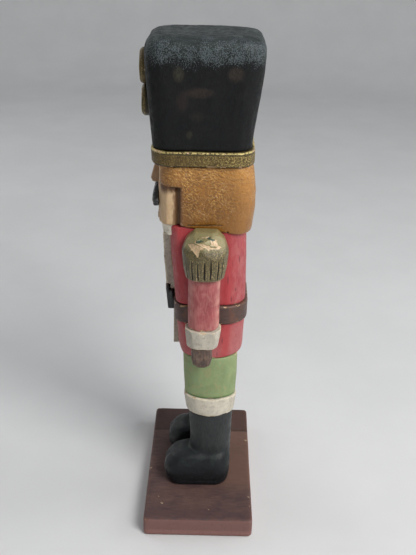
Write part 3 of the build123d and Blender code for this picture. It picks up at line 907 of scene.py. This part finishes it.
def epaulette_piece(side, seed):
    made = Carving(side + "_epaulette", 0.27, 5)
    flat_cuts(made, 1 if side == "left" else -1, 0.9, [
        (0.55, -0.10, 0.80), (0.62, 0.55, 0.56), (0.62, -0.58, 0.52), (0.92, 0.22, 0.42),
        (0.90, -0.30, 0.30)])
    made.smooth(1)
    made.whittle(seed, 0.10, 5.0, (1, 1, 1.3), 0.06)
    flutes(made, seed)
    made.chip(seed + 20, 0.08, 1.6, 0.08)
    made.marks["chip"] = np.maximum(made.marks["chip"], made.marks.pop("patch"))
    hold_arm(side)(made)
    made.done(side + "_arm", "antique_gold_paint", paints["epaulette"])


def hair_piece():
    """Hair cut with a small gouge in short random strokes, smoother towards the hem."""
    made = Carving("hair", 0.33, 4)
    made.whittle(301, 0.12, 6.0, (1, 1, 1.0), 0.10)
    y, z = made.y, made.z
    front = ramp(y, -7.0, -10.5) * ramp(z, 192.5, 190.5)
    temple = ramp(y, -9.5, -12.0) * ramp(np.abs(z - 189.5), 4.0, 2.0)
    made.smooth(9, np.clip(front + temple, 0, 1))
    made.points[:, 1] -= 0.2 * ramp(made.y, -6.0, -9.0) * ramp(made.z, 190.0, 187.5)
    y, z = made.y, made.z
    outside = np.clip(ramp(np.abs(made.x), 20.2, 21.0) + ramp(y, 12, 15) + ramp(z, 190.5, 192), 0, 1)
    around = np.where(y > 12, 12 + np.arctan2(y - 12, np.abs(made.x)) * 24, y)
    flow = 0.5 * noise(made.points, 9, 304) - 0.12
    crown = ramp(z, 188.0, 197.0)
    spread = np.where(crown > 0.5, 0.55, 1.35)
    lean = flow - 0.45 * ramp(y, 0, 22) - 0.2
    amount = ramp(z, 167.0, 182.0) * (0.6 + 0.4 * ramp(noise(made.points, 7, 305), -0.45, 0.2))
    amount = (amount + 0.14) * outside * (1 - 0.35 * ramp(y, 8, 20))
    low = strokes(around, z, 1.35, 2.0, 0.30, lean, spread, 0.8, 306)
    high = strokes(around, z, 1.2, 1.7, 0.27, lean, spread, 0.8, 366)
    long_lines = strokes(around, z, 3.4, 6.5, 0.34, -0.22 + 0.2 * noise(made.points, 12, 310),
                         0.16, 0.35, 311) * ramp(z, 186, 192)
    low = np.maximum(low, long_lines)
    made.push((-0.20 * low + 0.14 * high) * amount)
    # Painted highlights on the raised strokes, patchy and strongest towards the crown.
    bright = ramp(layered(made.points, 4.2, 312, layers=3), -0.35, 0.35)
    made.marks["ridge_glint"] = ramp(high, 0.35, 0.85) * amount * (0.2 + 0.5 * bright + 0.3 * crown)
    made.marks["cut"] = ramp(low, 0.3, 0.9) * amount * 0.8
    # Painted shade along the hair's lower front edge beside the cheek.
    sides = np.abs(made.x) > 17.0
    made.marks["rim"] = ramp(y, -9.8, -11.8) * ramp(z, 190.5, 188.5) * sides
    side = ramp(made.x, 20.5, 21.5)
    level = 170.6 + 0.22 * noise(made.points, 6, 308, (1, 1, 9))
    crack = near_to(z, level, 0.24) * ramp(y, -9.0, -7.5) * ramp(y, 10.5, 8.5) * side
    nail = near_to(np.hypot(y - 12.2, z - 166.9), 0, 0.5) * side
    made.push(-0.35 * crack - 0.5 * nail)
    made.marks["crack"] = np.clip(ramp(crack, 0.25, 0.7) * ramp(
        noise(made.points, 2.0, 309, (1, 1, 9)), -0.75, -0.35) + ramp(nail, 0.3, 0.6), 0, 1)
    made.chip(321, 0.1, 1.8, 0.10)
    made.points[:, 0] = np.clip(made.x, -23.25, 23.25)
    made.done(FIGURE, "ochre_hair_paint", hair_paint())


def hat_piece():
    made = Carving("hat", 0.6, 5)
    made.whittle(331, 0.20, 9.0, (1, 1, 2.2), 0.15)
    vertical_cuts(made, 332)
    made.chip(351, 0.10, 2.4, 0.12)
    low = made.whole[:, 2] < 209.4
    made.points[low] = made.whole[low]
    made.done(FIGURE, "black_hat_paint", black_hat())


def badge_piece(node, middle_z, width, height, seed):
    """A carved disc with a raised rim round a rayed middle."""
    made = Carving(node, 0.27, 3)
    across, up = made.x / width, (made.z - middle_z) / height
    radius = np.hypot(across, up)
    angle = np.arctan2(up, across)
    front = ramp(-made.y, 29.5, 30.5)
    rim = near_to(radius, 0.84, 0.07)
    rays = np.cos(angle * 16) * ramp(radius, 0.25, 0.4) * ramp(radius, 0.78, 0.68)
    boss = ramp(radius, 0.24, 0.12)
    made.push(front * (0.25 * rim + 0.16 * rays + 0.3 * boss - 0.28 * ramp(radius, 0.8, 0.7)))
    made.push(0.07 * noise(made.points, 3, seed))
    made.chip(seed + 20, 0.08, 1.6, 0.15)
    made.done(FIGURE, "antique_gold_paint", paints["badge"])


def moustache_piece():
    """A handlebar with combed strokes that sweep out and down from the middle."""
    made = Carving("moustache", 0.27, 10)
    reach = np.abs(made.x)
    middle = (made.z.max() + made.z.min()) / 2
    half = (made.z.max() - made.z.min()) / 2
    made.points[:, 1] += 1.7 * np.abs((made.z - middle) / half) ** 3 * ramp(-made.y, 22.6, 24.5)
    strands = np.sin((made.z + 0.45 * reach + 0.02 * reach ** 2) * 2 * math.pi / 1.7)
    parting = near_to(made.x, 0, 0.6)
    waist = near_to(made.z, 180.8 - 0.12 * reach, 0.9)
    made.push((0.12 * strands - 0.5 * parting - 0.55 * waist) * ramp(-made.y, 23.2, 24.5))
    made.push(0.06 * noise(made.points, 2.5, 361))
    made.chip(362, 0.05, 1.5, 0.1)
    made.done(FIGURE, "black_moustache_paint", black_gloss("black_moustache_paint", 71))


def face_piece():
    """Face block with shallow eye sockets and soft cheeks; a calm, plain doll's face."""
    made = Carving("head_block", 0.42, 3)
    front = ramp(-made.y, 21.4, 22.6)
    reach = np.abs(made.x)
    socket = near_to(np.hypot((reach - EYE_X) / 5.0, (made.z - EYE_Z) / 4.2), 0, 0.85)
    cheek = near_to(np.hypot((reach - 11.6) / 4.5, (made.z - 188.6) / 4.0), 0, 0.8)
    mouth = near_to(np.hypot(reach / 9.0, (made.z - 174.6) / 2.2), 0, 0.8)
    made.push(front * (-0.55 * socket + 0.35 * cheek - 0.25 * mouth))
    made.push(0.07 * noise(made.points, 6, 371))
    made.chip(372, 0.08, 2.2, 0.05)
    made.done(FIGURE, "face_paint", face_paint())


def nose_piece():
    made = Carving("nose", 0.26, 6)
    made.push(0.06 * noise(made.points, 3, 381))
    made.chip(382, 0.06, 1.5, 0.1)
    made.done(FIGURE, "face_paint", paints["nose"])


def jaw_piece():
    """The jaw plate with a rolled lower lip and a chin line."""
    made = Carving("jaw_front", 0.2, 2)
    front = ramp(-made.y, 23.3, 23.7)
    lip = near_to(made.z, 171.0, 0.5) * ramp(np.abs(made.x), 8.2, 5.5)
    made.push(front * 0.18 * lip + 0.03 * noise(made.points, 2, 391))
    made.chip(392, 0.05, 1.4, 0.1)
    made.done(FIGURE, "face_paint", paints["nose"])


def small_piece(node, slot, paint, voxel, rounding, seed):
    made = Carving(node, voxel, rounding)
    made.push(0.03 * noise(made.points, 1.6, seed))
    made.chip(seed + 1, 0.04, 1.2, 0.1)
    made.done(FIGURE, slot, paint)


def eyes_piece():
    """The eyes are low domes."""
    made = Carving("eyes", 0.16, 1)
    proud = np.minimum(made.y + 22.4, 0)
    made.points[:, 1] = made.y - 0.6 * proud
    made.push(0.02 * noise(made.points, 1.6, 681))
    made.done(FIGURE, "eye_paint", eye_paint())


def hand_piece(side, seed):
    """A mitten-like fist with the thumb and finger lines cut in."""
    def lines(made, seed):
        sign = 1 if side == "left" else -1
        outer = ramp(made.x * sign, 29.0, 32.0)
        fingers = sum(near_to(made.y, -2.6 + 2.7 * k, 0.35) for k in range(3))
        made.push(-0.16 * fingers * outer * ramp(made.z, 101.5, 97.0))
        thumb = near_to(made.y + 0.35 * (made.z - 100), -4.2, 0.4)
        made.push(-0.12 * thumb * ramp(made.z, 96.5, 99.0))
    block_piece(side + "_hand", "brown_glove_paint", paints["glove"], 0.34, seed, 0.12, 3.4, 4,
                (0.06, 1.6, 0.2), (1, 1, 1.3), side + "_arm", hold_arm(side), lines)


paints = {
    "boot": boot_paint(), "epaulette": epaulette_paint(), "badge": badge_paint(),
    "glove": glove_paint(), "nose": shaded_face_paint(), "trouser": trouser_paint(),
    "coat": coat_paint("red_coat_paint", 171, (166, 72, 76), (150, 60, 66),
                       (178, 108, 106), 0.45),
    "sleeve": coat_paint("red_sleeve_paint", 181, (158, 76, 78), (144, 66, 69),
                         (184, 122, 116), 0.7),
    "cuff": white_paint("white_cuff_paint", 191, (192, 186, 172), (176, 170, 158),
                        (104, 92, 76), 0.9),
    "panel": white_paint("white_panel_paint", 195, (176, 169, 156),
                         (158, 151, 139), (88, 78, 66)),
    "collar": white_paint("white_collar_paint", 197, (224, 216, 200),
                          (206, 197, 181), (110, 98, 82)),
    "boot_cuff": white_paint("white_boot_cuff_paint", 199, (204, 197, 182),
                             (188, 182, 168), (120, 108, 88)),
}
wood, steel = plain_wood(), screw_steel()

base_piece()
for side, seed in (("left", 400), ("right", 500)):
    arm = side + "_arm"
    boot_piece(side, seed)
    block_piece(side + "_boot_cuff", "white_cuff_paint", paints["boot_cuff"], 0.42, seed + 1,
                0.14, 5.0, shape=wavy_rim)
    block_piece(side + "_trouser_leg", "green_trouser_paint", paints["trouser"], 0.5, seed + 2,
                0.16, 7.5)
    block_piece(side + "_sleeve", "red_coat_paint", paints["sleeve"], 0.42, seed + 3, 0.14,
                6.0, body=arm, hold=hold_arm(side), shape=sleeve_shape)
    block_piece(side + "_sleeve_cuff", "white_cuff_paint", paints["cuff"], 0.36, seed + 4, 0.10,
                5.5, stretch=(1, 1, 1.1), body=arm, hold=hold_arm(side), shape=cuff_facets)
    epaulette_piece(side, seed + 5)
    hand_piece(side, seed + 6)

block_piece("coat_skirt", "red_coat_paint", paints["coat"], 0.55, 601, 0.18, 8.0,
            shape=both(square_corners(13.9), coat_marks))
block_piece("coat_torso", "red_coat_paint", paints["coat"], 0.58, 611, 0.18, 9.0,
            shape=both(square_corners(14.4), coat_marks), hold=hold_torso)
block_piece("belt", "brown_belt_paint", belt_paint(), 0.42, 621, 0.14, 5.0,
            chips=(0.2, 2.0, 0.28), shape=both(square_corners(14.3, 1.2), wavy_rim),
            hold=hold_sides(23.2))
block_piece("belt_buckle", "black_buckle_paint", black_gloss("black_buckle_paint", 77), 0.3,
            631, 0.08, 3.5, 3, shape=buckle_shape)
block_piece("chest_panel", "white_panel_paint", paints["panel"], 0.36, 641, 0.12, 5.0, 3,
            shape=panel_shape)
block_piece("skirt_placket", "white_panel_paint", paints["panel"], 0.3, 651, 0.08, 4.0, 3)
block_piece("collar", "white_panel_paint", paints["collar"], 0.36, 661, 0.12, 5.0, 3,
            shape=collar_shape)
face_piece()
hair_piece()
nose_piece()
moustache_piece()
jaw_piece()
small_piece("teeth", "tooth_paint", tooth_paint(), 0.16, 1, 671)
eyes_piece()
block_piece("hat_band", "antique_gold_paint", hat_band_paint(), 0.42, 691, 0.14, 4.5,
            chips=(0.16, 2.0, 0.22), shape=wavy_rim)
hat_piece()
badge_piece("hat_badge_upper", 245.6, 8.6, 8.8, 701)
badge_piece("hat_badge_lower", 228.8, 7.4, 8.0, 711)

for node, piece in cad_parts.items():
    if piece.hide_render:
        continue
    piece.data.materials.clear()
    piece.data.materials.append(steel if node == "base_screws" else wood)


# Studio -----------------------------------------------------------------------

def studio_floor():
    """One plain pale sweep: a round floor that curves up into a wall all round."""
    flat, bend, top, sides = 1150.0, 350.0, 1300.0, 72
    turn = np.linspace(0, math.pi / 2, 12)
    out = np.concatenate([[1.0, 300.0, 700.0], flat + bend * np.sin(turn), [flat + bend]])
    up = np.concatenate([[0.0, 0.0, 0.0], bend * (1 - np.cos(turn)), [top]])
    around = np.linspace(0, 2 * math.pi, sides + 1)
    points = np.stack([np.outer(out, np.cos(around)), np.outer(out, np.sin(around)),
                       np.outer(up, np.ones(sides + 1))], axis=-1)
    grid = np.arange(points[..., 0].size).reshape(points.shape[:2])
    faces = np.stack([grid[:-1, :-1], grid[:-1, 1:], grid[1:, 1:], grid[1:, :-1]], axis=-1)
    mesh = bpy.data.meshes.new("studio_floor")
    mesh.from_pydata((points.reshape(-1, 3) * MM).tolist(), [], faces.reshape(-1, 4).tolist())
    mesh.shade_smooth()
    finish = Paint("studio_floor")
    cloud = finish.noise(70, 3, detail=3)
    tint = finish.mix(finish.range(cloud, 0.3, 0.7), (0.66, 0.665, 0.67, 1), (0.69, 0.695, 0.70, 1))
    mesh.materials.append(finish.done(tint, 0.75, specular_ior_level=0.2))
    made = bpy.data.objects.new("studio_floor", mesh)
    bpy.context.scene.collection.objects.link(made)


def soft_light(name, place, target, size, power, tint=(1, 1, 1)):
    """A square lamp at a place in metres, turned to face its target."""
    data = bpy.data.lights.new(name, "AREA")
    data.shape = "SQUARE"
    data.size = size
    data.energy = power
    data.color = tint
    lamp = bpy.data.objects.new(name, data)
    bpy.context.scene.collection.objects.link(lamp)
    lamp.location = place
    lamp.rotation_euler = (Vector(target) - Vector(place)).to_track_quat("-Z", "Y").to_euler()


def camera():
    """The figure seen from its left side, a little above, with a slight tilt."""
    data = bpy.data.cameras.new("camera")
    data.sensor_width = 36.0
    data.lens = 53.97
    data.clip_start = 0.01
    eye = bpy.data.objects.new("camera", data)
    bpy.context.scene.collection.objects.link(eye)
    eye.location = (0.41698, 0.00411, 0.31759)
    pitch, yaw, roll = (math.radians(v) for v in (24.03, -0.19, 1.18))
    turn = Euler((math.pi / 2 - pitch, 0, math.pi / 2 - yaw), "XYZ").to_matrix()
    eye.rotation_euler = (turn @ Euler((0, 0, roll)).to_matrix()).to_euler()
    bpy.context.scene.camera = eye


studio_floor()
camera()
soft_light("key", (0.62, 0.52, 0.86), (0, 0, 0.12), 0.5, 10.6, (1.0, 0.99, 0.97))
soft_light("rim", (-0.15, 0.95, 0.55), (0, 0, 0.15), 0.5, 2.5)
soft_light("top", (-0.25, 0.1, 1.3), (-0.1, 0, 0.1), 0.9, 2.3, (0.97, 0.98, 1.0))
soft_light("fill", (-0.6, -0.75, 0.6), (0, 0, 0.12), 0.6, 1.5)
world = bpy.data.worlds.new("studio")
world.use_nodes = True
world.node_tree.nodes["Background"].inputs[0].default_value = (0.93, 0.96, 1.0, 1)
world.node_tree.nodes["Background"].inputs[1].default_value = 0.15
bpy.context.scene.world = world
bpy.context.scene.view_settings.view_transform = "Standard"
